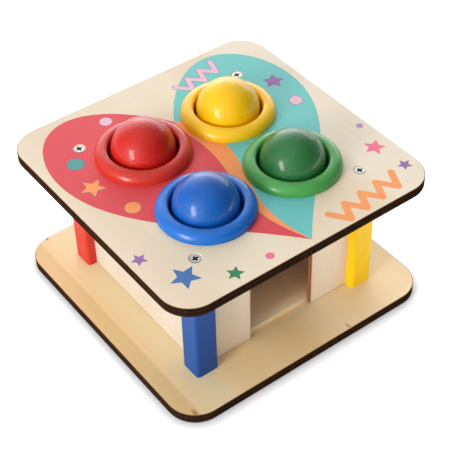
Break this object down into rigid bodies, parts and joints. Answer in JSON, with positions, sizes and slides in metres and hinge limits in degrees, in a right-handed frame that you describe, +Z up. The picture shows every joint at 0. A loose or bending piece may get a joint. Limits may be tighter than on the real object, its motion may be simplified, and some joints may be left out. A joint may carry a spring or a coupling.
{
  "type": "ball pounding bench",
  "caption": "Square wooden pounding bench: balls are struck down through gripping collars, land on a sloping ramp inside the walls and roll out of a front doorway.",
  "frame": {"origin": "centre of the base panel's underside", "axes": "+Z up through the balls, -Y towards the doorway the balls roll out of, +X to the right of a child facing the doorway"},
  "size_m": [0.168, 0.168, 0.1085],
  "materials": {
    "top_plywood": "printed face, satin, laser-cut edge",
    "base_plywood": "bare, laser-cut edge",
    "ramp_plywood": "bare",
    "wall_plywood": "bare",
    "black_rubber": "moulded",
    "zinc_plated_steel": "zinc plated",
    "blue_lacquer": "gloss lacquer",
    "blue_ball_lacquer": "gloss lacquer",
    "blue_leg_lacquer": "satin lacquer",
    "green_lacquer": "gloss lacquer",
    "green_ball_lacquer": "gloss lacquer",
    "green_leg_lacquer": "satin lacquer",
    "yellow_lacquer": "gloss lacquer",
    "yellow_ball_lacquer": "gloss lacquer",
    "yellow_leg_lacquer": "satin lacquer",
    "red_lacquer": "gloss lacquer",
    "red_ball_lacquer": "gloss lacquer",
    "red_leg_lacquer": "satin lacquer"
  },
  "bodies": {
    "bench": {"base_panel": "base_plywood", "top_panel": "top_plywood", "leg_blue": "blue_leg_lacquer", "leg_green": "green_leg_lacquer", "leg_yellow": "yellow_leg_lacquer", "leg_red": "red_leg_lacquer", "front_wall": "wall_plywood", "back_wall": "wall_plywood", "left_wall": "wall_plywood", "right_wall": "wall_plywood", "ramp": "ramp_plywood", "ramp_batten": "ramp_plywood", "collar_blue": "blue_lacquer", "collar_green": "green_lacquer", "collar_yellow": "yellow_lacquer", "collar_red": "red_lacquer", "grip_ring_blue": "black_rubber", "grip_ring_green": "black_rubber", "grip_ring_yellow": "black_rubber", "grip_ring_red": "black_rubber", "top_screws": "zinc_plated_steel", "base_screws": "zinc_plated_steel"},
    "ball_blue": {"ball_blue": "blue_ball_lacquer"},
    "ball_green": {"ball_green": "green_ball_lacquer"},
    "ball_yellow": {"ball_yellow": "yellow_ball_lacquer"},
    "ball_red": {"ball_red": "red_ball_lacquer"}
  },
  "joints": [
    {"name": "ball_blue_drop", "type": "slide", "parent": "bench", "child": "ball_blue", "axis": [0, 0, 1], "range_m": [-0.056, 0.021], "deforming": ["grip_ring_blue"]},
    {"name": "ball_green_drop", "type": "slide", "parent": "bench", "child": "ball_green", "axis": [0, 0, 1], "range_m": [-0.056, 0.021], "deforming": ["grip_ring_green"]},
    {"name": "ball_yellow_drop", "type": "slide", "parent": "bench", "child": "ball_yellow", "axis": [0, 0, 1], "range_m": [-0.0406, 0.021], "deforming": ["grip_ring_yellow"]},
    {"name": "ball_red_drop", "type": "slide", "parent": "bench", "child": "ball_red", "axis": [0, 0, 1], "range_m": [-0.0406, 0.021], "deforming": ["grip_ring_red"]}
  ]
}
